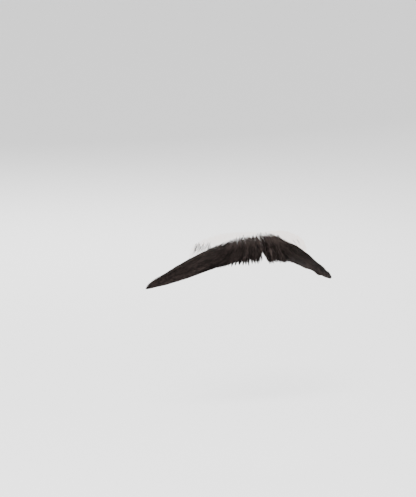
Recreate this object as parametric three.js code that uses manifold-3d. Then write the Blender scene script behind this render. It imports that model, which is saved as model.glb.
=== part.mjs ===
// A false moustache as it is worn: hair knotted on a strip of net lace, combed down in the middle and
// drawn out to a waxed point on each side. Lengths are in millimetres. X runs across the face, Y into
// the face and Z up. The origin is where the back of the lace sits on the middle of the upper lip.
// Left and right are as seen from the front.
import * as THREE from "three";
import { mergeVertices } from "three/addons/utils/BufferGeometryUtils.js";
import Module from "manifold-3d";

const wasm = await Module();
wasm.setup();

const { clamp, degToRad, lerp, smoothstep } = THREE.MathUtils;

const LIP_RADIUS = 40; // curve of the upper lip, seen from above
const CHEEK_ANGLE = 25; // degrees that each side turns back, to follow the cheeks
const LIP_LEAN = 12; // degrees that the middle of the lip leans forward towards its lower edge
const LIP_WIDTH = 50; // from the parting to where the cheek stands upright, along the lip
const WING_LENGTH = 76.5; // from the parting to a wing's point, along the lip
const WING_DROP = 30; // how far a wing's point lies below the origin
const HAIR_DEPTH = 6.4; // thickest hair, in front of the lace
const HAIR_EDGE = 0.3; // thinnest hair, along the hairline and at the points
const PARTING = 0.4; // gap between the wings above the notch
const NOTCH_DEPTH = 4.2; // how far the notch's apex lies below the origin
const NOTCH_WIDTH = 3.7; // from the parting to each side of the notch, at the hair's lower edge
const LACE_REACH = 48; // half-length of the lace, along the lip
const LACE_RISE = 7.2; // from the origin to the highest edge of the lace
const LACE_INSET = 1.6; // how far the lace stops short of the hair's lower edge
const LACE_THICKNESS = 1; // net and the knots tied on it
const LACE_GAP = 0.3; // clear space between the lace and the hair in front of it
const COMB_ANGLE = 9; // degrees outwards from straight down that the hair is combed at the parting
const COMB_REACH = 32; // from the parting to where the hair is combed wholly towards the point
const LOCK_WIDTH = 2.5;
const LOCK_DEPTH = 1.5;
const LOCK_LENGTH = 46; // longest lock, from its knots to its point
const LOCK_OVERHANG = 1.1; // how far a lock's end stands out of the hair's lower edge
const LOCK_SPACING = 4.1; // between the roots of one row of locks

const SECTION_SHAPE = 0.75; // 1 for a lens-shaped section of hair, and less for a boxier one
const SECTION_LOW = 0.85; // 1 for hair that is fullest midway up, and less for lower
const EDGE_BLUNT = 0.2; // 0 for a lower edge that rounds off, and 0.5 for one as thick as the hair
const EDGE_TUCK = 0.4; // where the edges of free hair lie: 0 at its back, and 0.5 midway
const LOCK_SHIFT = 0.12; // how far a lock strays in its row, as a share of the spacing
const LOCK_VARIATION = 0.15; // how much a lock's width and depth vary, as a share
const LOCK_SINK = 0.2; // how deep a lock's middle lies under the hair's front, as a share of its depth

const SECTION_POINTS = 8; // points up the front of a section of hair
const WING_SECTIONS = 22;
const LACE_SECTIONS = 24;
const LOCK_SIDES = 6;
const LOCK_STEPS = 9;
const PATH_STEPS = 40; // strides in which a lock's run is worked out

// Sections of a wing. out is a share of WING_LENGTH. left and right are the top edges of the two wings
// and base is their lower edge, as shares of WING_DROP. depth is a share of HAIR_DEPTH.
const WING = [
  { out: 0.0, left: 0.125, right: 0.15, base: -0.4, depth: 0.26 },
  { out: 0.03, left: 0.135, right: 0.155, base: -0.405, depth: 0.46 },
  { out: 0.08, left: 0.135, right: 0.148, base: -0.405, depth: 0.76 },
  { out: 0.14, left: 0.12, right: 0.112, base: -0.405, depth: 0.94 },
  { out: 0.2, left: 0.088, right: 0.062, base: -0.41, depth: 1.0 },
  { out: 0.3, left: 0.005, right: -0.038, base: -0.435, depth: 1.0 },
  { out: 0.42, left: -0.115, right: -0.175, base: -0.51, depth: 0.97 },
  { out: 0.55, left: -0.275, right: -0.34, base: -0.625, depth: 0.9 },
  { out: 0.68, left: -0.445, right: -0.525, base: -0.742, depth: 0.78 },
  { out: 0.8, left: -0.63, right: -0.715, base: -0.853, depth: 0.6 },
  { out: 0.9, left: -0.795, right: -0.865, base: -0.935, depth: 0.4 },
  { out: 0.96, left: -0.895, right: -0.935, base: -0.975, depth: 0.26 },
  { out: 1.0, left: -0.975, right: -0.978, base: -1.0, depth: 0.12 },
];

// Upper edge of the lace. out is a share of LACE_REACH and top a share of LACE_RISE.
const LACE = [
  { out: 0.0, top: 0.93 },
  { out: 0.15, top: 1.0 },
  { out: 0.38, top: 0.98 },
  { out: 0.58, top: 0.78 },
  { out: 0.75, top: 0.44 },
  { out: 0.88, top: 0.02 },
  { out: 0.96, top: -0.5 },
  { out: 1.0, top: -1.2 },
];

// Rows of locks, from the hairline down. rise is where a row's roots lie between the hair's lower and
// upper edges, end is the share of LACE_REACH that the row covers, and start the share of LOCK_SPACING
// at which it begins.
const LOCK_ROWS = [
  { rise: 0.9, end: 0.94, start: 0.45 },
  { rise: 0.64, end: 0.9, start: 0.9 },
  { rise: 0.4, end: 0.86, start: 0.6 },
];

const CHEEK_TURN = degToRad(CHEEK_ANGLE);
const LEAN = Math.tan(degToRad(LIP_LEAN));
const HAIR_SEAT = LACE_THICKNESS + LACE_GAP;

const HAIR = new THREE.MeshStandardMaterial({ color: 0x2c2523, roughness: 0.5, metalness: 0 });
const NET = new THREE.MeshStandardMaterial({ color: 0xdcc0a6, roughness: 0.85, metalness: 0 });

// A seeded random number from -1 to 1, so that the locks vary and come out the same each time.
function randomFrom(seed) {
  let state = seed;
  return () => {
    state = (state * 16807) % 2147483647;
    return (state / 2147483647) * 2 - 1;
  };
}

// Reads a column of a table at a share of its length, on a smooth curve through the rows.
function read(table, column, share) {
  const last = table.length - 1;
  const row = Math.max(table.findIndex((entry) => entry.out >= share), 1);
  const at = (index) => table[clamp(index, 0, last)];
  const slope = (index) => {
    const before = at(index - 1);
    const after = at(index + 1);
    return (after[column] - before[column]) / (after.out - before.out);
  };
  const low = at(row - 1);
  const high = at(row);
  const step = high.out - low.out;
  const t = clamp((share - low.out) / step, 0, 1);
  return (
    (1 + 2 * t) * (1 - t) ** 2 * low[column] +
    t * (1 - t) ** 2 * step * slope(row - 1) +
    t ** 2 * (3 - 2 * t) * high[column] +
    t ** 2 * (t - 1) * step * slope(row)
  );
}

// The point that lies this far along the lip from the parting, out from the skin, and up.
function place(along, out, up) {
  const turn = Math.min(along / LIP_RADIUS, CHEEK_TURN);
  const past = along - LIP_RADIUS * turn;
  const x = (LIP_RADIUS + out) * Math.sin(turn) + past * Math.cos(turn);
  const y = LIP_RADIUS - (LIP_RADIUS + out) * Math.cos(turn) + past * Math.sin(turn);
  const lean = LEAN * (1 - smoothstep(along, 0, LIP_WIDTH));
  return new THREE.Vector3(x, y + up * lean, up);
}

// The hair's lower edge, which rises to the notch's apex beside the parting.
function hairBase(along) {
  const edge = WING_DROP * read(WING, "base", along / WING_LENGTH);
  return lerp(-NOTCH_DEPTH, edge, Math.min(along / NOTCH_WIDTH, 1));
}

function hairTop(wing, along) {
  return WING_DROP * read(WING, wing, along / WING_LENGTH);
}

// How thick the hair is where it is fullest.
function hairDepth(along) {
  return HAIR_DEPTH * read(WING, "depth", along / WING_LENGTH);
}

// The share of the depth at which a section's edges lie: at its back on the lace, nearly midway past it.
function hairTuck(along) {
  return EDGE_TUCK * smoothstep(along, 0.65 * LACE_REACH, 1.2 * LACE_REACH);
}

// How far the hair's front stands out from the skin. It is thin at the hairline, fullest low down and
// blunt along the lower edge in the middle, and rounds off at both edges towards the point.
function hairFront(along, rise) {
  const blunt = EDGE_BLUNT * (1 - smoothstep(along, 0.4 * LACE_REACH, 1.1 * LACE_REACH));
  const swell = Math.sin(Math.PI * (blunt + (1 - blunt) * rise ** SECTION_LOW)) ** SECTION_SHAPE;
  const tuck = hairTuck(along);
  return HAIR_SEAT + HAIR_EDGE + hairDepth(along) * (tuck + (1 - tuck) * swell);
}

// The hair's back is flat against the lace, and rounds off too past its end.
function hairBack(along, rise) {
  const swell = Math.sin(Math.PI * rise) ** SECTION_SHAPE;
  return HAIR_SEAT + hairDepth(along) * hairTuck(along) * (1 - swell);
}

// The way that the hair is combed: down beside the parting, and ever more towards the point outwards.
function combed(along, up) {
  const towardsPoint = Math.atan2(WING_LENGTH - along, WING_DROP + up);
  const angle = lerp(degToRad(COMB_ANGLE), towardsPoint, smoothstep(along, NOTCH_WIDTH, COMB_REACH));
  return { along: Math.sin(angle), up: -Math.cos(angle) };
}

// Where sections lie from the parting out: four across half the notch, then evenly spaced.
function sectionPlaces(start, end, count) {
  const places = [start];
  for (let step = 1; step <= 4; step++) places.push((NOTCH_WIDTH * step) / 4);
  for (let step = 1; step <= count; step++) places.push(lerp(NOTCH_WIDTH, end, step / count));
  return places;
}

// A closed geometry through rings with the same number of points, its ends closed by flat fans.
function loft(rings) {
  const count = rings[0].length;
  const corners = rings.flat();
  const faces = [];
  for (let ring = 0; ring < rings.length - 1; ring++) {
    for (let point = 0; point < count; point++) {
      const next = (point + 1) % count;
      const near = ring * count;
      const far = near + count;
      faces.push([near + point, near + next, far + next]);
      faces.push([near + point, far + next, far + point]);
    }
  }
  const end = corners.length - count;
  for (let point = 1; point < count - 1; point++) {
    faces.push([0, point + 1, point]);
    faces.push([end, end + point, end + point + 1]);
  }
  return facingOut(corners, faces);
}

// A geometry from corners and faces, turned over if its faces point in.
function facingOut(corners, faces) {
  let volume = 0;
  for (const [a, b, c] of faces) {
    volume += corners[a].dot(corners[b].clone().cross(corners[c]));
  }
  const turned = volume < 0 ? faces.map(([a, b, c]) => [a, c, b]) : faces;
  const geometry = new THREE.BufferGeometry().setFromPoints(corners);
  geometry.setIndex(turned.flat());
  return geometry;
}

function toSolid(geometry) {
  const bare = geometry.clone();
  bare.deleteAttribute("normal");
  bare.deleteAttribute("uv");
  const merged = mergeVertices(bare);
  const vertProperties = new Float32Array(merged.attributes.position.array);
  const triVerts = new Uint32Array(merged.index.array);
  return new wasm.Manifold(new wasm.Mesh({ numProp: 3, vertProperties, triVerts }));
}

function fromSolid(solid) {
  const { vertProperties, triVerts } = solid.getMesh();
  const geometry = new THREE.BufferGeometry();
  geometry.setAttribute("position", new THREE.BufferAttribute(vertProperties, 3));
  geometry.setIndex(new THREE.BufferAttribute(triVerts, 1));
  return geometry;
}

// The strip of net, from end to end of the lip, with its lower edge hidden behind the hair.
function lace() {
  const right = sectionPlaces(0, LACE_REACH, LACE_SECTIONS);
  const left = right.slice(1).map((along) => -along);
  const rings = [...left.reverse(), ...right].map((reach) => {
    const along = Math.abs(reach);
    const top = LACE_RISE * read(LACE, "top", along / LACE_REACH);
    const base = hairBase(along) + LACE_INSET;
    const ring = [place(along, 0, base), place(along, 0, top)];
    ring.push(place(along, LACE_THICKNESS, top), place(along, LACE_THICKNESS, base));
    for (const corner of ring) corner.x *= Math.sign(reach);
    return ring;
  });
  return loft(rings);
}

// The mass of one wing's hair, without its locks.
function wingMass(wing) {
  const rings = sectionPlaces(PARTING / 2, WING_LENGTH, WING_SECTIONS).map((along) => {
    const base = hairBase(along);
    const top = hairTop(wing, along);
    const front = [];
    const back = [];
    for (let point = 0; point < SECTION_POINTS; point++) {
      const rise = point / (SECTION_POINTS - 1);
      const up = lerp(base, top, rise);
      front.push(place(along, hairFront(along, rise), up));
      back.push(place(along, hairBack(along, rise), up));
    }
    return [...front, ...back.reverse()];
  });
  return loft(rings);
}

// The run of one lock down the hair's front, from its root to just past the lower edge or to the point.
function lockRun(root) {
  const stride = LOCK_LENGTH / PATH_STEPS;
  const run = [root];
  let overhang = 0;
  while (overhang < LOCK_OVERHANG && run.length <= PATH_STEPS) {
    const here = run[run.length - 1];
    const way = combed(here.along, here.up);
    const next = { along: here.along + way.along * stride, up: here.up + way.up * stride };
    if (next.along > WING_LENGTH - stride) break;
    if (next.up < hairBase(next.along)) overhang += stride;
    run.push(next);
  }
  return run;
}

// One ring of a lock: an ellipse across the way that it is combed, half sunk in the hair's front.
function lockRing(wing, at, share, size) {
  const way = combed(at.along, at.up);
  const base = hairBase(at.along);
  const rise = clamp((at.up - base) / (hairTop(wing, at.along) - base), 0, 1);
  const taper = size * (Math.min(1, 0.45 + 3 * share) * (1 - share ** 4) + 0.12);
  const wide = (taper * LOCK_WIDTH) / 2;
  const deep = (taper * LOCK_DEPTH) / 2;
  const rooted = LOCK_DEPTH * (1 - smoothstep(share, 0, 0.3));
  const front = hairFront(at.along, rise) - LOCK_SINK * deep - rooted;
  const out = Math.max(front, HAIR_SEAT + deep);
  const ring = [];
  for (let side = 0; side < LOCK_SIDES; side++) {
    const turn = (2 * Math.PI * side) / LOCK_SIDES;
    const across = wide * Math.cos(turn);
    const along = Math.max(at.along - across * way.up, PARTING / 2 + (0.1 * side) / LOCK_SIDES);
    ring.push(place(along, out + deep * Math.sin(turn), at.up + across * way.along));
  }
  return ring;
}

function lock(wing, root, size) {
  const run = lockRun(root);
  const rings = [];
  for (let step = 0; step <= LOCK_STEPS; step++) {
    const share = step / LOCK_STEPS;
    rings.push(lockRing(wing, run[Math.round(share * (run.length - 1))], share, size));
  }
  return loft(rings);
}

// One wing: rows of overlapping locks fused to the mass of hair.
function hair(wing, seed) {
  const random = randomFrom(seed);
  let solid = toSolid(wingMass(wing));
  for (const row of LOCK_ROWS) {
    const count = Math.floor((row.end * LACE_REACH) / LOCK_SPACING - row.start);
    for (let index = 0; index <= count; index++) {
      const along = (row.start + index + LOCK_SHIFT * random()) * LOCK_SPACING;
      const up = lerp(hairBase(along), hairTop(wing, along), row.rise);
      const size = 1 + LOCK_VARIATION * random();
      solid = solid.add(toSolid(lock(wing, { along, up }, size)));
    }
  }
  return fromSolid(solid);
}

// Turns a right-hand shape into the left-hand one.
function mirrored(geometry) {
  const left = geometry.clone().applyMatrix4(new THREE.Matrix4().makeScale(-1, 1, 1));
  const index = left.index.array;
  for (let corner = 0; corner < index.length; corner += 3) {
    [index[corner], index[corner + 1]] = [index[corner + 1], index[corner]];
  }
  return left;
}

function named(name, geometry, material) {
  geometry.computeVertexNormals();
  const mesh = new THREE.Mesh(geometry, material);
  mesh.name = name;
  return mesh;
}

const moustache = new THREE.Group();
moustache.name = "moustache";
moustache.add(named("lace_base", lace(), NET));
moustache.add(named("hair_wing_left", mirrored(hair("left", 11)), HAIR));
moustache.add(named("hair_wing_right", hair("right", 23), HAIR));

export default moustache;
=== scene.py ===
# %% [markdown]
# # A long black lace moustache
#
# The real piece is made like a small wig. A maker cuts a strip of fine hexagonal net, called lace, to the
# shape of the upper lip. With a hook they then knot hair into it, a few hairs to each thread, so that all
# the hair grows out of the net. It is parted in the middle, combed down and out, and the far ends are waxed
# into two points. This script builds it in the same order: the net, the knots, the hair, and its finish.
#
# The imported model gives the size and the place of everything. Its three solids are simple shapes that stand
# for the lace and the two wings of hair, and the pieces that are made here take their places.

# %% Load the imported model
import math

import bpy
import numpy as np
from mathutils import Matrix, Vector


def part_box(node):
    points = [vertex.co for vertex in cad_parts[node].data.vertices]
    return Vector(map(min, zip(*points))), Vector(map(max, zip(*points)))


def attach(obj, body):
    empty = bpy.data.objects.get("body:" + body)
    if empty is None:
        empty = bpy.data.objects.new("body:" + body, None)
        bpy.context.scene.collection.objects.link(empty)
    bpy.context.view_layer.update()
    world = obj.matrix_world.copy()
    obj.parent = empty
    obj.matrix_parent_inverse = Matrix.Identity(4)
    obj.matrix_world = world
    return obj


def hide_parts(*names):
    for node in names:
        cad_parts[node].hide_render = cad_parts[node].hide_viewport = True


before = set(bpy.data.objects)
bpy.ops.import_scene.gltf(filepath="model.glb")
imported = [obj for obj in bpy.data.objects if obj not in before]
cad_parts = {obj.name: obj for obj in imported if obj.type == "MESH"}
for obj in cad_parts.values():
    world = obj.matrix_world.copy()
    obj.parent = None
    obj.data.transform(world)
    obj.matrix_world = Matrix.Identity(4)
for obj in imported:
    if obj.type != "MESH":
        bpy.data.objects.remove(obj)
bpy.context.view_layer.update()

# %% [markdown]
# ## The camera
#
# The photograph looks at the piece from 25 degrees to the left of its front and a little from above, with a
# long lens. The camera looks along that direction, and it stands as far to the side and as high as brings
# the parting to its place in the picture. It could also be aimed with a Track To constraint, but a camera
# that is placed once, from its three directions, stays where it is put.

# %% Place the camera
PICTURE = (416, 497)
PIXELS_PER_METRE = 1500
CAMERA_DISTANCE = 0.8
CAMERA_AZIMUTH = math.radians(-25)
CAMERA_ELEVATION = math.radians(5)
SENSOR = 36
PARTING_PIXEL = (260.1, 250)
PARTING_POINT = np.array([0, 0, -0.005])


def look_from(azimuth, elevation):
    """The camera's right, up and back directions."""
    back = np.array([
        math.sin(azimuth) * math.cos(elevation),
        -math.cos(azimuth) * math.cos(elevation),
        math.sin(elevation),
    ])
    right = np.array([math.cos(azimuth), math.sin(azimuth), 0])
    return right, np.cross(back, right), back


def place_camera():
    """A camera that sees the parting at its pixel of the photograph."""
    focal_pixels = PIXELS_PER_METRE * CAMERA_DISTANCE
    data = bpy.data.cameras.new("camera")
    data.sensor_width = SENSOR
    data.lens = focal_pixels / max(PICTURE) * SENSOR
    camera = bpy.data.objects.new("camera", data)
    bpy.context.scene.collection.objects.link(camera)
    right, up, back = look_from(CAMERA_AZIMUTH, CAMERA_ELEVATION)
    across = (PARTING_PIXEL[0] - PICTURE[0] / 2) / PIXELS_PER_METRE
    down = (PARTING_PIXEL[1] - PICTURE[1] / 2) / PIXELS_PER_METRE
    camera.location = PARTING_POINT - across * right + down * up + CAMERA_DISTANCE * back
    camera.rotation_euler = (math.pi / 2 - CAMERA_ELEVATION, 0, CAMERA_AZIMUTH)
    bpy.context.scene.camera = camera
    return camera


camera = place_camera()
print("camera at", tuple(round(value, 3) for value in camera.location))

# %% [markdown]
# ## The shape that the hair is combed to
#
# A moustache is easiest to think of flat, before it is worn: so far along the lip from the parting, so far
# up, and so far out from the net's back. All the hair below is combed in those three numbers, in
# millimetres, and is bent round the lip at the very end. The tables are the design: each row is a place
# along a wing, and holds the heights of the hair's edges and its depth there, as shares of the wing's
# length, drop and depth.

# %% The sizes of the moustache, in millimetres
MM = 0.001
SIDES = {"left": -1, "right": 1}
LIP_RADIUS = 40
CHEEK_TURN = math.radians(25)
LIP_LEAN = math.radians(12)
LIP_WIDTH = 50
WING_LENGTH = 76.5
WING_DROP = 30
HAIR_DEPTH = 6.4
HAIR_EDGE = 0.3  # thinnest hair
HAIR_SEAT = 1.3  # from the net's back to the hair's
NOTCH_DEPTH = 4.2
NOTCH_WIDTH = 3.7
LACE_REACH = 48
LACE_RISE = 7.2
LACE_INSET = 1.6
LACE_MIDDLE = 0.5  # from the net's back to its threads
SECTION_SHAPE = 0.75  # 1 for a lens-shaped section, less for a boxier one
SECTION_LOW = 0.85  # 1 for hair that is fullest midway up, less for lower
EDGE_BLUNT = 0.2  # 0 for a lower edge that rounds off
BLUNT_REACH = (0.4, 1.1)  # where that fades out, as shares of LACE_REACH
EDGE_TUCK = 0.4  # where the edges of free hair lie: 0 at its back
TUCK_REACH = (0.65, 1.2)  # where that comes in, as shares of LACE_REACH

WING = [
    {"out": 0, "left": 0.125, "right": 0.15, "base": -0.4, "depth": 0.26},
    {"out": 0.03, "left": 0.135, "right": 0.155, "base": -0.405, "depth": 0.46},
    {"out": 0.08, "left": 0.135, "right": 0.148, "base": -0.405, "depth": 0.76},
    {"out": 0.14, "left": 0.12, "right": 0.112, "base": -0.405, "depth": 0.94},
    {"out": 0.2, "left": 0.088, "right": 0.062, "base": -0.41, "depth": 1},
    {"out": 0.3, "left": 0.005, "right": -0.038, "base": -0.435, "depth": 1},
    {"out": 0.42, "left": -0.115, "right": -0.175, "base": -0.51, "depth": 0.97},
    {"out": 0.55, "left": -0.275, "right": -0.34, "base": -0.625, "depth": 0.9},
    {"out": 0.68, "left": -0.445, "right": -0.525, "base": -0.742, "depth": 0.78},
    {"out": 0.8, "left": -0.63, "right": -0.715, "base": -0.853, "depth": 0.6},
    {"out": 0.9, "left": -0.795, "right": -0.865, "base": -0.935, "depth": 0.4},
    {"out": 0.96, "left": -0.895, "right": -0.935, "base": -0.975, "depth": 0.26},
    {"out": 1, "left": -0.975, "right": -0.978, "base": -1, "depth": 0.12},
]
LACE = [
    {"out": 0, "top": 0.93},
    {"out": 0.15, "top": 1},
    {"out": 0.38, "top": 0.98},
    {"out": 0.58, "top": 0.78},
    {"out": 0.75, "top": 0.44},
    {"out": 0.88, "top": 0.02},
    {"out": 0.96, "top": -0.5},
    {"out": 1, "top": -1.2},
]


def smoothstep(value, low, high):
    """0 up to low, 1 from high on, and an S-shaped rise between them."""
    share = np.clip((value - low) / (high - low), 0, 1)
    return share * share * (3 - 2 * share)


def blend(low, high, share):
    """A value this share of the way from low to high."""
    return low + (high - low) * share


def read(table, column, share):
    """A column of a table at this share of the way out, on a smooth curve through its rows."""
    out = np.array([row["out"] for row in table])
    value = np.array([row[column] for row in table])
    slope = np.gradient(value)
    slope[1:-1] = (value[2:] - value[:-2]) / (out[2:] - out[:-2])
    slope[[0, -1]] = np.diff(value)[[0, -1]] / np.diff(out)[[0, -1]]
    high = np.clip(np.searchsorted(out, share), 1, len(out) - 1)
    low = high - 1
    step = out[high] - out[low]
    t = np.clip((share - out[low]) / step, 0, 1)
    ends = (1 + 2 * t) * (1 - t) ** 2 * value[low] + t**2 * (3 - 2 * t) * value[high]
    bends = t * (1 - t) ** 2 * slope[low] + t**2 * (t - 1) * slope[high]
    return ends + step * bends


def hair_base(along):
    """The height of the hair's lower edge, which rises to the notch at the parting."""
    lowest = WING_DROP * read(WING, "base", along / WING_LENGTH)
    return blend(-NOTCH_DEPTH, lowest, np.clip(along / NOTCH_WIDTH, 0, 1))


def hair_top(wing, along):
    """The height of a wing's upper edge."""
    return WING_DROP * read(WING, wing, along / WING_LENGTH)


def lace_top(along):
    """The height of the net's upper edge."""
    return LACE_RISE * read(LACE, "top", along / LACE_REACH)


def past_lace(along, reach):
    """0 and then 1 along a wing, with a rise between two shares of the net's reach."""
    start, end = reach
    return smoothstep(along, start * LACE_REACH, end * LACE_REACH)


def hair_front(along, rise):
    """How far out the hair's front lies, at this share of the way from its lower edge to its upper one."""
    blunt = EDGE_BLUNT * (1 - past_lace(along, BLUNT_REACH))
    tuck = EDGE_TUCK * past_lace(along, TUCK_REACH)
    swell = np.sin(math.pi * (blunt + (1 - blunt) * rise**SECTION_LOW)) ** SECTION_SHAPE
    depth = HAIR_DEPTH * read(WING, "depth", along / WING_LENGTH)
    return HAIR_SEAT + HAIR_EDGE + depth * (tuck + (1 - tuck) * swell)


def hair_back(along, rise):
    """How far out the hair's back lies: on the net, and rounded where the wing hangs free of it."""
    tuck = EDGE_TUCK * past_lace(along, TUCK_REACH)
    depth = HAIR_DEPTH * read(WING, "depth", along / WING_LENGTH)
    return HAIR_SEAT + depth * tuck * (1 - np.sin(math.pi * rise) ** SECTION_SHAPE)


def bend_round_lip(side, along, out, up):
    """Points in metres, from flat ones in millimetres: on an arc over the lip, then straight on."""
    turn = np.minimum(along / LIP_RADIUS, CHEEK_TURN)
    past = along - LIP_RADIUS * turn
    across = (LIP_RADIUS + out) * np.sin(turn) + past * np.cos(turn)
    back = LIP_RADIUS - (LIP_RADIUS + out) * np.cos(turn) + past * np.sin(turn)
    lean = math.tan(LIP_LEAN) * (1 - smoothstep(along, 0, LIP_WIDTH))
    return MM * np.stack([side * across, back + up * lean, up + 0 * out], axis=-1)


for wing, side in SIDES.items():
    node_low, node_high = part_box(f"hair_wing_{wing}")
    point = bend_round_lip(side, WING_LENGTH, HAIR_SEAT, -WING_DROP)
    solid_end = (node_low.x, node_high.x)[side > 0]
    print(wing, "wing ends at", point.round(4), "and its solid at x", round(solid_end, 4))

# %% [markdown]
# ## Shader maths in plain Python
#
# A material is a graph of nodes, and a sum such as 0.4 + 0.2 * tone is two Math nodes and their links. The
# small class below wraps a socket, so that such sums can be written as they are on paper. The materials use
# it for all that varies over a surface. What stays the same is set as a number on the shader itself.


# %% A class that turns Python sums into Math nodes
class Value:
    """A number that varies over a surface."""

    def __init__(self, material, socket):
        self.material = material
        self.socket = socket

    def _math(self, operation, *values):
        node = self.material.node("ShaderNodeMath", {"operation": operation}, dict(enumerate(values)))
        return Value(self.material, node.outputs[0])

    def __add__(self, other):
        return self._math("ADD", self, other)

    def __radd__(self, other):
        return self._math("ADD", other, self)

    def __sub__(self, other):
        return self._math("SUBTRACT", self, other)

    def __rsub__(self, other):
        return self._math("SUBTRACT", other, self)

    def __mul__(self, other):
        return self._math("MULTIPLY", self, other)

    def __rmul__(self, other):
        return self._math("MULTIPLY", other, self)

    def __pow__(self, other):
        return self._math("POWER", self, other)

    def __rpow__(self, other):
        return self._math("POWER", other, self)

    def clamped(self):
        """The number, held between 0 and 1."""
        return self._math("MINIMUM", self._math("MAXIMUM", self, 0), 1)


class Finish:
    """A material with one Principled BSDF, and the nodes that feed it."""

    def __init__(self, name, constants):
        self.data = bpy.data.materials.new(name)
        self.data.use_nodes = True
        self.tree = self.data.node_tree
        self.shader = self.tree.nodes["Principled BSDF"]
        self.feed(self.shader, constants)

    def feed(self, node, values):
        """Sets a node's sockets to values, or links them."""
        for key, value in values.items():
            value = value.socket if isinstance(value, Value) else value
            if isinstance(value, bpy.types.NodeSocket):
                self.tree.links.new(value, node.inputs[key])
            else:
                node.inputs[key].default_value = value

    def node(self, kind, settings=None, values=None):
        """A node of any kind, with its settings and its sockets."""
        node = self.tree.nodes.new(kind)
        for key, value in (settings or {}).items():
            setattr(node, key, value)
        self.feed(node, values or {})
        return node

    def value(self, socket):
        """A socket as a number to reckon with."""
        return Value(self, socket)

    def mix(self, share, low, high):
        """A colour this share of the way from low to high."""
        node = self.node("ShaderNodeMix", {"data_type": "RGBA"}, {0: share, 6: low, 7: high})
        return node.outputs[2]

    def noise(self, scale, detail=2, place=None):
        """A cloudy pattern in metres, from 0 to 1."""
        place = place or self.node("ShaderNodeTexCoord").outputs["Object"]
        node = self.node("ShaderNodeTexNoise", None, {"Vector": place, "Scale": scale, "Detail": detail})
        return self.value(node.outputs[0])


print("shader maths is ready")

# %% [markdown]
# ## The net
#
# Ventilating lace is knitted in small hexagons from thread as thin as a hair. It could be a flat sheet with
# the holes painted in by a pattern, but here the threads are real: a sheet of hexagons is laid out flat,
# trimmed to the outline, and a Wireframe modifier turns each edge into a thread. The sheet is bent round the
# lip last, so no hexagon is stretched before that.

# %% Lay out the hexagons
CELL_SIDE = 0.55
THREAD = 0.16
LACE_MARGIN = 0.2
SAME_CORNER = 0.25  # corners nearer than this share of a side are one


def cell_centres():
    """The centres of the hexagons that lie inside the lace's outline, flat, in millimetres."""
    column_step = 1.5 * CELL_SIDE
    row_step = math.sqrt(3) * CELL_SIDE
    columns = np.arange(-int(LACE_REACH / column_step), int(LACE_REACH / column_step) + 1)
    rows = np.arange(-int(WING_DROP / row_step), int(LACE_RISE / row_step) + 2)
    column, row = np.meshgrid(columns, rows, indexing="ij")
    across = column * column_step
    up = (row + 0.5 * (column % 2)) * row_step
    along = np.abs(across)
    low = hair_base(along) + LACE_INSET + LACE_MARGIN
    inside = (up > low) & (up < lace_top(along) - LACE_MARGIN) & (along < LACE_REACH - LACE_MARGIN)
    return np.stack([across[inside], up[inside]], axis=-1)


def lay_cells(centres):
    """The corners of the hexagons, each corner once, and the six corners of every hexagon."""
    turn = np.arange(6) * math.pi / 3
    ring = CELL_SIDE * np.stack([np.cos(turn), np.sin(turn)], axis=-1)
    corners = (centres[:, None] + ring).reshape(-1, 2)
    keys = np.round(corners / (SAME_CORNER * CELL_SIDE)).astype(int)
    _, first, index = np.unique(keys, axis=0, return_index=True, return_inverse=True)
    return corners[first], index.reshape(-1, 6)


centres = cell_centres()
net_corners, cells = lay_cells(centres)


def make_object(name, points, faces, material=None):
    """A mesh object from points in metres and faces that all have the same number of corners."""
    mesh = bpy.data.meshes.new(name)
    mesh.from_pydata(np.asarray(points, dtype=float).reshape(-1, 3), [], np.asarray(faces).tolist())
    made = bpy.data.objects.new(name, mesh)
    bpy.context.scene.collection.objects.link(made)
    if material:
        mesh.materials.append(material)
    return made


def apply_modifiers(made):
    """Turns an object's modifiers into mesh."""
    graph = bpy.context.evaluated_depsgraph_get()
    mesh = bpy.data.meshes.new_from_object(made.evaluated_get(graph))
    made.modifiers.clear()
    old = made.data
    made.data = mesh
    bpy.data.meshes.remove(old)


def knit_net():
    """The net as threads, bent round the lip."""
    flat = np.column_stack([net_corners[:, 0], 0 * net_corners[:, 0], net_corners[:, 1]])
    net = make_object("lace_net", MM * flat, cells)
    threads = net.modifiers.new("threads", "WIREFRAME")
    threads.thickness = THREAD * MM
    threads.offset = 0
    threads.use_even_offset = False
    apply_modifiers(net)
    mesh = net.data
    points = np.empty(3 * len(mesh.vertices))
    mesh.vertices.foreach_get("co", points)
    across, out, up = points.reshape(-1, 3).T / MM
    bent = bend_round_lip(np.sign(across), np.abs(across), LACE_MIDDLE - out, up)
    mesh.vertices.foreach_set("co", bent.ravel())
    mesh.update()
    return net


net = knit_net()
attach(net, "root")
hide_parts("lace_base")
print("net:", len(net.data.polygons), "faces")

# %% [markdown]
# ## Combing the hair
#
# Blender has hair curves, but a curve is drawn as a ribbon that other programs lose. So each hair here is a
# slim three-sided tube in a joined mesh. The work is in where it runs, and that starts with its knot. Every
# corner of the net can hold a knot of a few hairs. Near the middle the maker ties fewer and fewer of them
# towards the upper edge, so that the hairline looks grown, and few beside the parting, where the net shows.

# %% Choose the knots
HAIRS_PER_KNOT = 3.75
KNOT_VARIETY = (0.6, 1.4)  # least and most of that, as shares
HAIR_EDGE_RISE = (1.03, 1.12)  # where the firm hairline thins out: 1 is the wing's upper edge
SOFT_EDGE_RISE = (0.86, 1.13)  # where the soft one near the parting does
SOFT_EDGE_REACH = {"left": (15, 24), "right": (7, 14)}  # mm along where soft turns to firm
SOFT_EDGE_POWER = 2.5
SPARSE_SHARE = 0.42  # share of the hairs that is left beside the parting
PARTING_BAND = {"left": (-0.2, 1.1, 0.25), "right": (-0.4, 0.7, 0.0)}  # mm where sparse ends, and its slant
PARTING_CLEAR = 0.1
SEEDS = {"left": 12, "right": 25}


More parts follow.
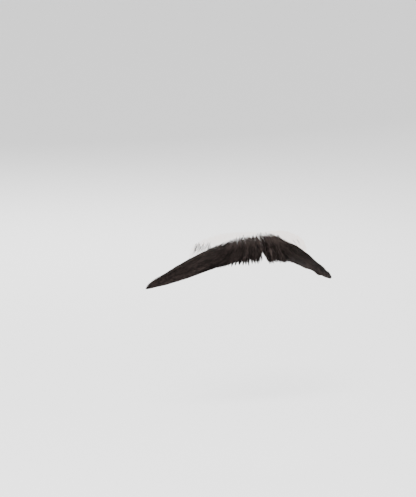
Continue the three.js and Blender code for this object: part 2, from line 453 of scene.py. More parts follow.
def rise_of(wing, along, up):
    """The share of the way from the hair's lower edge to its upper one."""
    base = hair_base(along)
    return (up - base) / (hair_top(wing, along) - base)


def net_places(wing):
    """Where one wing's half of the net has its corners, as along and up."""
    mine = net_corners[net_corners[:, 0] * SIDES[wing] > PARTING_CLEAR]
    return np.stack([np.abs(mine[:, 0]), mine[:, 1]], axis=-1)


def choose_knots(wing, random):
    """The places on the net where hair is knotted, one row for each hair, flat, in millimetres."""
    places = net_places(wing)
    along, up = places.T
    first, full, slant = PARTING_BAND[wing]
    beside = smoothstep(along - slant * (up + NOTCH_DEPTH), first, full)
    rise = rise_of(wing, along, up)
    firm_edge = 1 - smoothstep(rise, *HAIR_EDGE_RISE)
    soft_edge = (1 - smoothstep(rise, *SOFT_EDGE_RISE)) ** SOFT_EDGE_POWER
    edge = blend(soft_edge, firm_edge, smoothstep(along, *SOFT_EDGE_REACH[wing]))
    density = blend(SPARSE_SHARE, 1, beside) * edge
    wanted = HAIRS_PER_KNOT * density * random.uniform(*KNOT_VARIETY, len(along))
    count = np.floor(wanted + random.random(len(along))).astype(int)
    return np.repeat(places, count, axis=0)


for wing in SIDES:
    print(wing, "wing's hairs:", len(choose_knots(wing, np.random.default_rng(SEEDS[wing]))))

# %% [markdown]
# Now the comb. A hair is combed straight down beside the parting, and turns more and more along the wing
# the further out it grows. Hair that reaches the lower edge ends there as fringe, cut into small spikes that
# are long beside the parting and short further out. The rest runs on to the waxed point. Each hair is walked
# from its knot in short steps, all hairs at once, as one would draw a line that always follows the comb.

# %% Cut the fringe
MOST_SPIKES = 60
SPIKE_GAP = (1.2, 2.5)  # mm from one spike to the next
SPIKE_LENGTH = (0.4, 1.2)  # mm below the lower edge
SPIKE_CUT = {"left": (5, 0.3), "right": (1.5, 0.4)}  # mm between two spikes, near and far
SPIKE_CUT_REACH = (8, 13)  # mm along where near turns to far
SPIKE_FULL = 0.35  # share of a spike's half-width that keeps its full length
FRINGE_REACH = 42  # mm along each wing
FRINGE_FADE = 0.8  # share of that where the fringe begins to shorten
FRINGE_SAG = {"left": (0.8, 1.0), "right": (0.2, 0.9)}  # mm lower, near and far
FRINGE_SAG_START = (4, 12)  # mm along where the sag comes in
FRINGE_SAG_TURN = (16, 27)  # mm along where near turns to far
APEX_SAG = 3.2  # mm that hair hangs into the notch's apex
APEX_SAG_REACH = (0.3, 1.6)
PARTING_SAG = {"left": 3.2, "right": 0.3}  # mm lower at the notch's side
PARTING_SAG_PLACE = 1.5
PARTING_SAG_WIDTH = 1.0


def cut_fringe(random):
    """The fringe's spikes: their places along the lower edge and their lengths."""
    gaps = random.uniform(*SPIKE_GAP, MOST_SPIKES)
    places = np.cumsum(gaps)
    places = places[places < WING_LENGTH]
    lengths = random.uniform(*SPIKE_LENGTH, len(places))
    return places, lengths


def in_fringe(along):
    """1 where the hair ends as fringe, and 0 past it."""
    return 1 - smoothstep(along, FRINGE_FADE * FRINGE_REACH, FRINGE_REACH)


def hang_of(wing, spikes, along):
    """How far the fringe hangs below the wing's lower edge at this place, less where two spikes meet."""
    places, lengths = spikes
    apart = np.abs(along[:, None] - places)
    nearest = apart.argmin(1)
    share = np.clip(apart[np.arange(len(along)), nearest] / (0.5 * np.mean(SPIKE_GAP)), 0, 1)
    cut = blend(*SPIKE_CUT[wing], smoothstep(along, *SPIKE_CUT_REACH))
    hang = blend(lengths[nearest], -cut, smoothstep(share, SPIKE_FULL, 1))
    sag = blend(*FRINGE_SAG[wing], smoothstep(along, *FRINGE_SAG_TURN))
    hang = hang + sag * smoothstep(along, *FRINGE_SAG_START)
    hang = hang + APEX_SAG * (1 - smoothstep(along, *APEX_SAG_REACH))
    hang = hang + PARTING_SAG[wing] * np.exp(-(((along - PARTING_SAG_PLACE) / PARTING_SAG_WIDTH) ** 2))
    return hang * in_fringe(along), places[nearest]


print("the fringe reaches", FRINGE_REACH, "mm along each wing")

# %% Comb the hairs
STEP = 0.5
MOST_STEPS = 180
RINGS = 17  # points along each hair
ROOT_SCATTER = 0.2
COMB_START = {"left": (-8, 4, 9), "right": (-2, 16, 6)}  # degrees at 0 and past it, and mm between
COMB_REACH = {"left": 40, "right": 32}  # mm along to where hair runs straight to the point
COMB_REACH_VARIETY = (0.8, 1.15)
ANGLE_SPREAD = 6  # degrees that a hair strays
TURNED_SPREAD = 0.25  # share of that as a hair turns outwards
POINT_FIRST = 0.6  # share of the wing where the first waxed hair ends
POINT_CURVE = 1.25  # over 1 for more hairs at the point
RAGGED_END = 0.35
SLOPE_STEP = 0.25


def slope_of(wing, along, rise):
    """How steeply a line of constant rise falls, in mm of height for each mm along."""
    ahead = along + SLOPE_STEP
    here = blend(hair_base(along), hair_top(wing, along), rise)
    there = blend(hair_base(ahead), hair_top(wing, ahead), rise)
    return (there - here) / SLOPE_STEP


def even_rings(way, steps):
    """The same ways, each as RINGS points at equal steps."""
    share = np.linspace(0, 1, RINGS)[:, None] * steps
    below = np.clip(np.floor(share).astype(int), 0, MOST_STEPS - 1)
    part = (share - below)[..., None]
    hair = np.arange(len(steps))
    return np.swapaxes(blend(way[below, hair], way[below + 1, hair], part), 0, 1)


def comb(wing, knots, spikes, random):
    """The way of each hair from its knot, as RINGS flat points at equal steps, and its length."""
    count = len(knots)
    along, up = (knots + random.normal(0, ROOT_SCATTER, knots.shape)).T
    astray = np.radians(random.normal(0, ANGLE_SPREAD, count))
    beside, away, width = COMB_START[wing]
    start = np.radians(blend(beside, away, smoothstep(along, 0, width)))
    reach = COMB_REACH[wing] * random.uniform(*COMB_REACH_VARIETY, count)
    point = WING_LENGTH * (1 - (1 - POINT_FIRST) * random.random(count) ** POINT_CURVE)
    ragged = random.normal(0, RAGGED_END, (2, count))
    way = np.empty((MOST_STEPS + 1, count, 2))
    way[0] = np.stack([along, up], axis=-1)
    steps = np.zeros(count)
    for step in range(1, MOST_STEPS + 1):
        rise = np.clip(rise_of(wing, along, up), 0, 1)
        flow = np.arctan2(1, -slope_of(wing, along, rise))
        turned = smoothstep(along, NOTCH_WIDTH, reach)
        angle = blend(start + astray, flow + TURNED_SPREAD * astray * (1 - turned), turned)
        hang, _ = hang_of(wing, spikes, along + ragged[0])
        growing = (hair_base(along) - up < hang + ragged[1]) & (along < point)
        along = along + growing * STEP * np.sin(angle)
        up = up - growing * STEP * np.cos(angle)
        steps = steps + growing
        way[step] = np.stack([along, up], axis=-1)
    return even_rings(way, steps), steps * STEP


print("combing", MOST_STEPS, "steps of", STEP, "mm")

# %% [markdown]
# The hairs that run on to the point would leave it ragged and half empty. Wax holds them in one closed form,
# so their heights are spread evenly from its lower edge to its upper one, in the order that the comb gave
# them. Low humps and hollows along both edges give each point its own outline.

# %% Fill the waxed points
POINT_SAG = {"left": (1.8, 0.6), "right": (0.7, 0.4)}  # mm below the lower edge, near and far
POINT_SAG_START = 0.9
POINT_TOP = 1.04  # 1 for hair that ends at the wing's upper edge
POINT_FILL_REACH = (0.35, 0.95)
TOP_BUMPS = {
    "left": [
        {"out": 0.3, "width": 0.08, "height": 0.7},
        {"out": 0.94, "width": 0.07, "height": 0.8},
    ],
    "right": [
        {"out": 0.42, "width": 0.14, "height": 1.2},
        {"out": 0.85, "width": 0.1, "height": 2.4},
        {"out": 0.945, "width": 0.05, "height": 1.0},
    ],
}
BASE_BUMPS = {
    "left": [{"out": 0.97, "width": 0.04, "height": 0.1}],
    "right": [
        {"out": 0.66, "width": 0.06, "height": -0.7},
        {"out": 0.765, "width": 0.035, "height": 0.7},
        {"out": 0.84, "width": 0.03, "height": -0.4},
    ],
}


def spread(values, low, high):
    """The same order of values, spread evenly from low to high."""
    order = values.argsort().argsort()
    return blend(low, high, order / max(len(values) - 1, 1))


def bumps(along, table):
    """Low humps, or hollows, each round one place on the wing, with its height in millimetres."""
    share = along / WING_LENGTH
    return sum(row["height"] * np.exp(-(((share - row["out"]) / row["width"]) ** 2)) for row in table)


def fill_point(wing, path, layer):
    """Spreads the hairs that reach the waxed part evenly over its height and depth, so that they fill it."""
    waxed = np.where(path[:, -1, 0] > FRINGE_REACH)[0]
    along, up = path[waxed, :, 0], path[waxed, :, 1]
    base = hair_base(along)
    sag = blend(*POINT_SAG[wing], smoothstep(along, POINT_SAG_START * LACE_REACH, WING_LENGTH))
    sagged = base - sag - bumps(along, BASE_BUMPS[wing])
    top = hair_top(wing, along) + bumps(along, TOP_BUMPS[wing])
    rise = (up - base) / (top - base)
    wanted = blend(sagged, top, spread(rise[:, -1], 0, POINT_TOP)[:, None])
    path[waxed, :, 1] = blend(up, wanted, past_lace(along, POINT_FILL_REACH))
    layer[waxed] = spread(layer[waxed], 0, 1)


print("the waxed part starts", FRINGE_REACH, "mm out")

# %% [markdown]
# Combed hair isn't even: wax and the comb gather it into tufts, and each tuft ends in a point. A few hairs
# are picked as leaders, each hair joins the leader that runs most like it, and is drawn towards it on the
# way to its end. Some hairs stay loose, and fill the gaps. Within the tufts, locks of four or five hairs
# share their tone. The depth comes next: hair that grows high on the net lies over hair from lower down.

# %% Gather the hairs into tufts and give them depth
TUFTS = 320
LOCKS = 1200
END_APART = 1.1  # mm between two hairs' ends that count as one
MIDDLE_APART = 2.6  # the same for their middles
LAYER_APART = 0.3  # the same for their layers
TUFT_PULL = (0.5, 0.95)  # share of the way to the leader at a hair's end
PULL_START = 0.2  # share of a hair's length where the pull sets in
WAXED_PULL = 0.12  # share of the pull in the waxed part
WAXED_REACH = (0.7, 1.05)
PARTING_PULL = 0.1  # share of the pull beside the parting
PARTING_REACH = (0.8, 3)
LOOSE_SHARE = 0.28
LOOSE_PULL = 0.15  # share of the pull on a loose hair
SPIKE_PULL = 0.75
SPIKE_START = 4.0  # mm before a hair's end where it is drawn to its spike
SPIKE_REACH = (0.5, 2.5)
LAYER_RISE = 4.5  # mm of hair from its knot to its own layer
FULL_TOP = 0.94  # 1 for a front that thins out at the upper edge
PROUD = 0.3  # mm in front of the solid
WAVE_TURNS = (0.6, 2.2)
WAVE_RISE = 0.3
TUFT_WAVE = 0.3
TUFT_LIFT = 0.35
LOCK_LIFT = 0.25


def follow(feature, count, random):
    """For each hair, the hair that runs most like it of a few that are picked as leaders."""
    leaders = random.choice(len(feature), count, replace=False)
    lead = feature[leaders]
    apart = (feature**2).sum(1)[:, None] + (lead**2).sum(1) - 2 * feature @ lead.T
    return leaders[apart.argmin(1)]


def gather(path, layer, random):
    """Draws each hair towards its tuft's leader. Returns the paths, and each hair's tuft and lock."""
    middle = RINGS // 2
    feature = np.column_stack([
        path[:, -1] / END_APART,
        path[:, middle] / MIDDLE_APART,
        layer / LAYER_APART,
    ])
    tuft = follow(feature, TUFTS, random)
    lock = follow(feature, LOCKS, random)
    smooth = past_lace(path[:, -1, 0], WAXED_REACH)
    free = blend(PARTING_PULL, 1, smoothstep(path[:, 0, 0], *PARTING_REACH))
    free = free * np.where(random.random(len(path)) < LOOSE_SHARE, LOOSE_PULL, 1)
    pull = (random.uniform(*TUFT_PULL, len(path)) * blend(1, WAXED_PULL, smooth) * free)[:, None, None]
    share = smoothstep(np.linspace(0, 1, RINGS), PULL_START, 1)[None, :, None]
    return blend(path, path[tuft], pull * share), tuft, lock


def draw_to_spikes(wing, path, length, spikes):
    """Draws the ends of the fringe together sideways into its spikes."""
    end = path[:, -1, 0]
    _, place = hang_of(wing, spikes, end)
    left = (1 - np.linspace(0, 1, RINGS)) * length[:, None]
    share = 1 - smoothstep(left, 0, SPIKE_START)
    fringe = smoothstep(end, *SPIKE_REACH) * in_fringe(end)
    path[..., 0] += SPIKE_PULL * share * ((place - end) * fringe)[:, None]


def add_depth(wing, path, length, layer, lift):
    """How far out the hairs lie, from the net at the knot to their own layer of the wing."""
    along, up = path[..., 0], path[..., 1]
    rise = np.clip(rise_of(wing, along, up), 0, 1)
    gone = np.linspace(0, 1, RINGS)[None] * length[:, None]
    risen = smoothstep(gone, 0, LAYER_RISE)
    front = hair_front(along, FULL_TOP * rise) + PROUD
    settled = blend(hair_back(along, rise), front, layer[:, None]) + lift[:, None]
    return blend(LACE_MIDDLE, settled, risen)


def wave(path, random, size):
    """Small bends from side to side along each hair."""
    share = np.linspace(0, 1, RINGS)[None]
    turns = random.uniform(*WAVE_TURNS, len(path))[:, None]
    start = random.uniform(0, 2 * math.pi, len(path))[:, None]
    return size * np.sin(2 * math.pi * turns * share + start) * smoothstep(share, 0, WAVE_RISE)


print(TUFTS, "tufts on each wing")

# %% [markdown]
# A curve with a bevel would also give a tube, but thousands of curves are slow, so the tubes are reckoned as
# arrays of points and made into one mesh in one call. Three sides are enough at this size, because smooth
# shading rounds them. Each tube thins towards its tip.

# %% Turn the ways into tubes
HAIR_RADIUS = 0.085
TIP_SHARE = 0.3  # share of the radius at the tip
TAPER_LENGTH = 4.0
TUBE_SIDES = 3
TONES = 48
UV_STRIP = (0.15, 0.85)  # part of a tone's cell that a tube covers
LONGEST_HAIR = 90  # mm for the whole height of the map
TINY = 1e-12  # so that nothing is divided by zero
FACE_CORNERS = ((0, 0), (1, 0), (1, 1), (0, 1))  # steps round and up


def unit(vectors):
    """The same directions, each one long."""
    return vectors / (np.linalg.norm(vectors, axis=-1, keepdims=True) + TINY)


def tube_points(side, path, radius):
    """The corners of each hair's rings, in metres, and the mm of hair that is left at each ring."""
    along, up, out = path[..., 0], path[..., 1], path[..., 2]
    spine = bend_round_lip(side, along, out, up)
    outward = bend_round_lip(side, along, out + 1, up) - spine
    run = unit(np.gradient(spine, axis=1))
    across = unit(np.cross(run, outward))
    proud = np.cross(across, run)
    strides = np.linalg.norm(np.diff(spine, axis=1), axis=-1) / MM
    left = np.pad(np.cumsum(strides[:, ::-1], axis=1)[:, ::-1], ((0, 0), (0, 1)))
    taper = blend(TIP_SHARE, 1, smoothstep(left, 0, TAPER_LENGTH))
    turn = 2 * math.pi * np.arange(TUBE_SIDES) / TUBE_SIDES
    around = np.cos(turn)[:, None] * proud[:, :, None] + np.sin(turn)[:, None] * across[:, :, None]
    thick = (MM * radius[:, None] * taper)[..., None, None]
    return spine[:, :, None] + thick * around, left


def tube_grid(count, rings):
    """For each face of the tubes: the number of its hair, of its ring and of its side."""
    counts = (np.arange(count), np.arange(rings - 1), np.arange(TUBE_SIDES))
    return np.meshgrid(*counts, indexing="ij")


def tube_faces(grid, rings):
    """The numbers of each face's four corners."""
    hair, ring, edge = grid
    numbers = [
        (hair * rings + ring + up_one) * TUBE_SIDES + (edge + round_one) % TUBE_SIDES
        for round_one, up_one in FACE_CORNERS
    ]
    return np.stack(numbers, axis=-1).reshape(-1, 4)


def tube_map(grid, tone, left):
    """The map of each face's corners: the tone across it, and the way along the hair up it."""
    hair, ring, edge = grid
    strip = [blend(*UV_STRIP, (edge + k) / TUBE_SIDES) for k in (0, 1)]
    u = [(tone[:, None, None] + part) / TONES for part in strip]
    gone = np.clip((left[:, :1] - left) / LONGEST_HAIR, 0, 1)
    v = [gone[hair, ring + k] for k in (0, 1)]
    corners = [np.stack([u[round_one], v[up_one]], -1) for round_one, up_one in FACE_CORNERS]
    return np.stack(corners, axis=3)


def make_tubes(name, side, path, radius, tone, material):
    """One mesh of slim tubes along flat paths (along, up, out), with a map of tone and of length."""
    count, rings = path.shape[:2]
    points, left = tube_points(side, path, radius)
    grid = tube_grid(count, rings)
    made = make_object(name, points, tube_faces(grid, rings), material)
    layer = made.data.uv_layers.new(name="OFBake")
    layer.uv.foreach_set("vector", tube_map(grid, tone, left).astype(np.float32).ravel())
    made.data.shade_smooth()
    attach(made, "root")
    return made


print("a hair is", 2 * HAIR_RADIUS, "mm thick and has", RINGS, "rings")

# %% [markdown]
# ## The hair's finish
#
# Black human hair is a very dark brown that catches light in thin streaks. No two hairs match, so each tube
# has one of 48 tones, which is stored in its UV map from left to right. From bottom to top the same map
# runs along the hair from its root, so a noise that is read through it gives each tone its own painted
# highlights, a few millimetres long, where wavy hair would turn in the light, and painted shade between
# them. The gloss is low, because a broad shine would turn this hair grey, and the hair is a little smoother
# towards its tip.

# %% Mix the hair's finish
HAIR_DARK = (0.0004, 0.0003, 0.0003, 1)
HAIR_LIGHT = (0.0705, 0.0535, 0.0485, 1)
HAIR_GLOSS = 0.03
TONE_CURVE = 3.2  # over 1 for few pale hairs among many dark ones
# Painted highlights along each hair, where wavy hair would turn in the light, with painted shade between them
PAINTED_GLINTS = 56  # along the longest hair
GLINT_LEVEL = 2  # brings the middle of the noise to 1
GLINT_CURVE = 4  # over 1 for few pale patches
HAIR_ROUGHNESS = 0.45
SMOOTHER_TIP = 0.1
ROUGHER_TONE = 0.1


def mix_hair():
    """Near-black hair with a tone for each strand, and painted highlights and painted shade along it."""
    finish = Finish("black_hair", {"Specular IOR Level": HAIR_GLOSS})
    place = finish.node("ShaderNodeUVMap", {"uv_map": "OFBake"}).outputs[0]
    parts = finish.node("ShaderNodeSeparateXYZ", None, {0: place})
    tone = finish.value(parts.outputs[0])
    tip = finish.value(parts.outputs[1])
    spacing = (TONES, PAINTED_GLINTS, 1)
    cells = finish.node("ShaderNodeVectorMath", {"operation": "MULTIPLY"}, {0: place, 1: spacing})
    # painted highlights and painted shade along each hair, in its base colour
    painted_glint = GLINT_LEVEL * finish.noise(1, 1, cells.outputs[0])
    shade = (tone * painted_glint**GLINT_CURVE).clamped()
    colour = finish.mix(shade, HAIR_DARK, HAIR_LIGHT)
    rough = HAIR_ROUGHNESS - SMOOTHER_TIP * tip + ROUGHER_TONE * tone
    finish.feed(finish.shader, {"Base Color": colour, "Roughness": rough})
    return finish.data


hair_finish = mix_hair()
print("mixed", hair_finish.name)

# %% [markdown]
# ## The two wings
#
# Each wing is three pieces, in the order in which a maker would dress them: the short fringe, the under hair
# that grows low on the net and runs to the point, and the top hair that lies over it. One mesh would do too,
# but three are lighter to handle, and each can be hidden to see what lies beneath it.

# %% Choose the order and the tones of the hairs
RANK_BY_HEIGHT = 0.65  # the rest is by how near the parting it grows
LAYER_BY_RANK = 0.6
LAYER_BY_CHANCE = 0.55
LAYER_SHIFT = 0.05
LEAST_LAYER = 0.02
TONE_BY_HAIR = 0.1
TONE_BY_TUFT = 0.4
TONE_BY_LOCK = 0.5
WAXED_TONE = 1.06
# fringe hair is darkened as painted shade
FRINGE_PAINTED_SHADE = 0.8


def rank_hairs(wing, knots):
    """How early each hair is dressed: high and near the parting comes last, and so lies on top."""
    along, up = knots.T
    return RANK_BY_HEIGHT * rise_of(wing, along, up) + (1 - RANK_BY_HEIGHT) * (1 - along / LACE_REACH)


def choose_layers(rank, random):
    """Each hair's place in the depth of the wing, from 0 at its back to 1 at its front."""
    layer = LAYER_BY_RANK * rank + LAYER_BY_CHANCE * random.random(len(rank)) - LAYER_SHIFT
    return np.clip(layer, LEAST_LAYER, 1)


def choose_tones(waxed, tuft, lock, random):
    """Each hair's tone, a whole number below TONES, much the same within a tuft and within a lock."""
    count = len(waxed)
    tone = TONE_BY_HAIR * random.random(count)
    tone = tone + TONE_BY_TUFT * random.random(count)[tuft] ** TONE_CURVE
    tone = tone + TONE_BY_LOCK * random.random(count)[lock] ** TONE_CURVE
    # fringe hair is darkened here as painted shade, and waxed hair is a little lighter
    tone = tone * np.where(waxed, WAXED_TONE, FRINGE_PAINTED_SHADE)
    return np.clip(np.floor(tone * TONES), 0, TONES - 1)


print("a waxed hair is", WAXED_TONE, "as light as its lock, and a fringe hair", FRINGE_PAINTED_SHADE)

# %% Make the two wings
TUFT_LAYER = 0.6  # share of the way to the leader's layer
WAVE_OUT = 0.12
WAVE_UP = 0.14
PAST_PARTING = 1.0  # mm that a hair may cross the parting
RADIUS_VARIETY = (0.75, 1.25)
FRINGE_THICKER = 1.12
FRINGE_SKIP = 2  # a short hair needs only every second ring


def make_wing(wing):
    """The hair of one wing: its fringe, and the under hair and the top hair that run on to the point."""
    random = np.random.default_rng(SEEDS[wing])
    knots = choose_knots(wing, random)
    count = len(knots)
    spikes = cut_fringe(random)
    path, length = comb(wing, knots, spikes, random)
    rank = rank_hairs(wing, knots)
    layer = choose_layers(rank, random)
    waxed = path[:, -1, 0] > FRINGE_REACH
    fill_point(wing, path, layer)
    path, tuft, lock = gather(path, layer, random)
    draw_to_spikes(wing, path, length, spikes)
    layer = blend(layer, layer[tuft], TUFT_LAYER)
    tuft_lift = random.normal(0, TUFT_LIFT, count)[tuft]
    lock_lift = random.normal(0, LOCK_LIFT, count)[lock]
    out = add_depth(wing, path, length, layer, layer * (tuft_lift + lock_lift))
    out = out + wave(path, random, WAVE_OUT) + wave(path, random, TUFT_WAVE)[tuft]
    path[..., 1] += wave(path, random, WAVE_UP) + wave(path, random, TUFT_WAVE)[tuft]
    path = np.concatenate([path, out[..., None]], axis=-1)
    path[..., 0] = np.maximum(path[..., 0], -PAST_PARTING)
    radius = HAIR_RADIUS * random.uniform(*RADIUS_VARIETY, count) * np.where(waxed, 1, FRINGE_THICKER)
    tone = choose_tones(waxed, tuft, lock, random)
    over = rank > np.median(rank[waxed])
    parts = (("fringe", ~waxed, FRINGE_SKIP), ("under", waxed & ~over, 1), ("top", waxed & over, 1))
    for name, chosen, skip in parts:
        name = f"{wing}_{name}_hair"
        ways = path[chosen][:, ::skip]
        piece = make_tubes(name, SIDES[wing], ways, radius[chosen], tone[chosen], hair_finish)
        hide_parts(f"hair_wing_{wing}")
        print(piece.name, int(chosen.sum()), "hairs,", 2 * len(piece.data.polygons), "triangles")
    return knots


knots = {wing: make_wing(wing) for wing in SIDES}

# %% [markdown]
# ## The hairline
#
# A hairline that stops dead looks false. So along the upper edge the maker knots small bunches of finer,
# shorter hair on the bare net, fewer and fewer, and a few stray ones near the net's ends. They stand up a
# little and lie every way. They could be grown by a particle system, but here they are tubes like the rest.

# %% Knot the hairline
FINE_CHANCE = 0.6
FINE_BUNCH = (3, 9)
FINE_LOWEST = -1.2  # mm above the wing's upper edge
FINE_FADE = (-0.5, 3.0)  # mm above it where they thin out
FINE_REACH = {"left": 36, "right": 24}  # mm along
FINE_REACH_FADE = 0.6  # share of that where they begin to thin out
STRAY_PLACE = {"left": (33.5, 45, -3.5, 1.0), "right": (30, 38, -1.0, 2.0)}  # near, far, low, high
STRAY_CHANCE = {"left": 0.34, "right": 0.05}
STRAY_BUNCH = (1, 5)
STRAY_LOWEST = 1  # mm above the wing's upper edge


def knot_hairline(wing, random):
    """The corners of the net that hold fine hairs, and for each such hair the number of its corner."""
    places = net_places(wing)
    along, up = places.T
    above = up - hair_top(wing, along)
    reach = FINE_REACH[wing]
    fade = (1 - smoothstep(above, *FINE_FADE)) * (1 - smoothstep(along, FINE_REACH_FADE * reach, reach))
    near, far, low, high = STRAY_PLACE[wing]
    stray = (along > near) & (along < far) & (up > low) & (up < high) & (above > STRAY_LOWEST)
    chance = np.where(above > FINE_LOWEST, FINE_CHANCE * fade, 0) + STRAY_CHANCE[wing] * stray
    knotted = random.random(len(places)) < chance
    few = random.integers(*STRAY_BUNCH, len(places))
    many = random.integers(*FINE_BUNCH, len(places))
    held = np.where(stray, few, many)
    return knotted, np.repeat(np.arange(len(places)), held * knotted)


print("a fine knot holds from", FINE_BUNCH[0], "to", FINE_BUNCH[1] - 1, "hairs")

# %% Lay the hairline
FINE_SEED = 100
FINE_RADIUS = 0.065
FINE_VARIETY = (0.8, 1.3)
FINE_TONES = (0.2, 0.99)
FINE_SCATTER = 0.12
FINE_LENGTH = (2.5, 6.5)
BUNCH_LEAN = 16  # degrees
FINE_LEAN = 8
FINE_BEND = (10, 10)  # degrees outwards, and how much they vary
FINE_BEND_SHARE = 0.6
FINE_TURN = 0.7  # degrees more for each mm along
FINE_TURN_MOST = 9
FINE_ARCH = (0.3, 1.4)  # mm that a hair stands up
FINE_ARCH_TURN = 0.75 * math.pi
FINE_RISE_SHARE = 0.5
FINE_PROUD = 0.1
FINE_CLEAR = 0.05
FINE_SKIP = 2


def hairline(wing, random):
    """Fine hairs at the wing's upper edge: the knots that hold them, and their paths (along, up, out)."""
    places = net_places(wing)
    knotted, bunch = knot_hairline(wing, random)
    count = len(bunch)
    chosen = places[bunch] + random.normal(0, FINE_SCATTER, (count, 2))
    share = np.linspace(0, 1, RINGS)
    length = random.uniform(*FINE_LENGTH, count)
    lean = random.normal(0, BUNCH_LEAN, len(places))[bunch] + random.normal(0, FINE_LEAN, count)
    start = np.radians(COMB_START[wing][1] + lean)
    outward = np.minimum(FINE_TURN * chosen[:, 0], FINE_TURN_MOST)
    end = np.radians(COMB_START[wing][1] + random.normal(*FINE_BEND, count) + outward)
    angle = blend(start[:, None], end[:, None], smoothstep(share, 0, FINE_BEND_SHARE))
    stride = length[:, None] / (RINGS - 1)
    path = np.zeros((count, RINGS, 3))
    path[:, 1:, 0] = np.cumsum(stride * np.sin(angle[:, 1:]), axis=1)
    path[:, 1:, 1] = np.cumsum(-stride * np.cos(angle[:, 1:]), axis=1)
    path[..., :2] += chosen[:, None]
    rise = np.clip(rise_of(wing, path[..., 0], path[..., 1]), 0, 1)
    front = hair_front(path[..., 0], rise) * (rise < 1) + LACE_MIDDLE * (rise >= 1)
    arch = random.uniform(*FINE_ARCH, count)[:, None] * np.sin(FINE_ARCH_TURN * share)
    over_hair = front * smoothstep(share, 0, FINE_RISE_SHARE) + FINE_PROUD
    path[..., 2] = np.maximum(LACE_MIDDLE + arch, over_hair)
    path[..., 0] = np.maximum(path[..., 0], FINE_CLEAR)
    return places[knotted], path[:, ::FINE_SKIP]


for wing in SIDES:
    random = np.random.default_rng(SEEDS[wing] + FINE_SEED)
    fine_knots, path = hairline(wing, random)
    knots[wing] = np.concatenate([knots[wing], fine_knots])
    tone = np.floor(TONES * random.uniform(*FINE_TONES, len(path)))
    radius = FINE_RADIUS * random.uniform(*FINE_VARIETY, len(path))
    piece = make_tubes(f"{wing}_hairline", SIDES[wing], path, radius, tone, hair_finish)
    print(piece.name, len(path), "hairs")

# %% [markdown]
# ## The knots
#
# On the back of the net every tuft shows as a tiny dark knot round a thread. A knot this small needs only
# the roughest shape, so each one is an octahedron, and all of them are one mesh.

# %% Tie the knots
KNOT_SIZE = 0.2
KNOT_GRAIN = 700
KNOT_ROUGHNESS = 0.5
KNOT_VARIES = 0.2


def mix_knots():
    """The hair's colours, in a finer grain."""
    finish = Finish("knotted_hair", {"Specular IOR Level": HAIR_GLOSS})
    grain = finish.noise(KNOT_GRAIN)
    colour = finish.mix(grain, HAIR_DARK, HAIR_LIGHT)
    rough = KNOT_ROUGHNESS + KNOT_VARIES * grain
    finish.feed(finish.shader, {"Base Color": colour, "Roughness": rough})
    return finish.data


def tie_knots(material):
    """An octahedron at each corner of the net that holds hair."""
    centres = []
    for wing, places in knots.items():
        tied = np.unique(places, axis=0)
        centres.append(bend_round_lip(SIDES[wing], tied[:, 0], LACE_MIDDLE + 0 * tied[:, 0], tied[:, 1]))
    centres = np.concatenate(centres)
    ends = KNOT_SIZE * MM * np.concatenate([np.eye(3), -np.eye(3)])
    points = centres[:, None] + ends
    upper = [[0, 1, 2], [1, 3, 2], [3, 4, 2], [4, 0, 2]]
    lower = [[1, 0, 5], [3, 1, 5], [4, 3, 5], [0, 4, 5]]
    sides = np.array(upper + lower)
    faces = (6 * np.arange(len(centres))[:, None, None] + sides).reshape(-1, 3)
    return make_object("hair_knots", points, faces, material)


knot_piece = tie_knots(mix_knots())
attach(knot_piece, "root")
print("knots:", len(knot_piece.data.polygons) // 8)

# %% [markdown]
# ## The net's finish
#
# The net is flesh-coloured nylon, so that it hardly shows when it is worn. Fine thread is never quite even,
# so a small noise varies its colour and its shine. A see-through shader could make it fainter still, but the
# holes between the threads are real here, and let what lies behind show through by themselves.

# %% Mix the net's finish
NET_LIGHT = (0.76, 0.56, 0.42, 1)
NET_DARK = (0.62, 0.42, 0.30, 1)
NET_CLOUDS = 400
NET_GRAIN = 900
NET_GLOSS = 0.5
NET_ROUGHNESS = 0.35
NET_VARIES = 0.2


def mix_net():
    """Flesh-coloured nylon thread."""
    finish = Finish("flesh_lace", {"Specular IOR Level": NET_GLOSS})
    colour = finish.mix(finish.noise(NET_CLOUDS), NET_DARK, NET_LIGHT)
    rough = NET_ROUGHNESS + NET_VARIES * finish.noise(NET_GRAIN)
    finish.feed(finish.shader, {"Base Color": colour, "Roughness": rough})
    return finish.data


net.data.materials.append(mix_net())
print("mixed", net.data.materials[0].name)

# %% [markdown]
# ## The setting
#
# A white studio: a pale floor that curves up into a wall all round, so that no edge shows from any side,
# a bright sky over it, and three large soft lights.

# %% Build the studio
FLOOR_DROP = 0.13
FLOOR_REACH = 4.0
FLOOR_SWEEP = 1.6
FLOOR_CURVE = 3
FLOOR_START = 0.002  # radius of the first ring, as a share
ROUND_STEPS = 96
FLOOR_RINGS = 40
PAPER = {"Base Color": (0.88, 0.88, 0.88, 1), "Roughness": 0.9, "Specular IOR Level": 0.1}


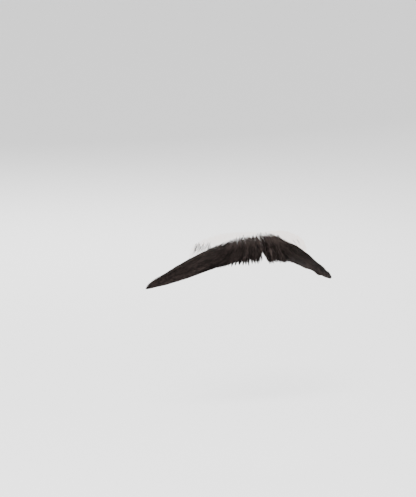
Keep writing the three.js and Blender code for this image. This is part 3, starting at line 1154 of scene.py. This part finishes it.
def make_floor():
    """A round floor that sweeps up gently on all sides."""
    share = np.linspace(FLOOR_START, 1, FLOOR_RINGS)
    turn = 2 * math.pi * np.arange(ROUND_STEPS) / ROUND_STEPS
    points = np.stack([
        FLOOR_REACH * share[:, None] * np.cos(turn),
        FLOOR_REACH * share[:, None] * np.sin(turn),
        FLOOR_SWEEP * share[:, None] ** FLOOR_CURVE - FLOOR_DROP + 0 * turn,
    ], axis=-1).reshape(-1, 3)
    ring, step = np.meshgrid(np.arange(FLOOR_RINGS - 1), np.arange(ROUND_STEPS), indexing="ij")
    after = (step + 1) % ROUND_STEPS
    faces = np.stack([
        ring * ROUND_STEPS + step,
        (ring + 1) * ROUND_STEPS + step,
        (ring + 1) * ROUND_STEPS + after,
        ring * ROUND_STEPS + after,
    ], axis=-1).reshape(-1, 4).tolist()
    faces.append(list(range(ROUND_STEPS)))
    mesh = bpy.data.meshes.new("studio_floor")
    mesh.from_pydata(points, [], faces)
    floor = bpy.data.objects.new("studio_floor", mesh)
    bpy.context.scene.collection.objects.link(floor)
    mesh.shade_smooth()
    mesh.materials.append(Finish("pale_paper", PAPER).data)


make_floor()
print("the floor lies", FLOOR_DROP, "m below the parting")

# %% Light the studio
WORLD_STRENGTH = 1.3
LIGHTS = [
    {"name": "key_light", "place": (-0.7, -1.0, 0.9), "size": 0.5, "power": 45},
    {"name": "fill_light", "place": (1.0, -0.8, 0.4), "size": 0.9, "power": 3},
    {"name": "back_light", "place": (0.2, 1.2, 1.0), "size": 0.8, "power": 30},
]


def make_sky():
    """An even white light from all round."""
    world = bpy.data.worlds.new("studio_sky")
    world.use_nodes = True
    sky = world.node_tree.nodes["Background"].inputs
    sky["Color"].default_value = (1, 1, 1, 1)
    sky["Strength"].default_value = WORLD_STRENGTH
    bpy.context.scene.world = world


def add_light(name, place, size, power):
    """A soft square light that faces the moustache."""
    data = bpy.data.lights.new(name, "AREA")
    data.shape = "SQUARE"
    data.size = size
    data.energy = power
    light = bpy.data.objects.new(name, data)
    bpy.context.scene.collection.objects.link(light)
    light.location = place
    light.rotation_euler = (-light.location).to_track_quat("-Z", "Y").to_euler()


make_sky()
for light in LIGHTS:
    add_light(**light)
print(len(LIGHTS), "lights and a bright sky")
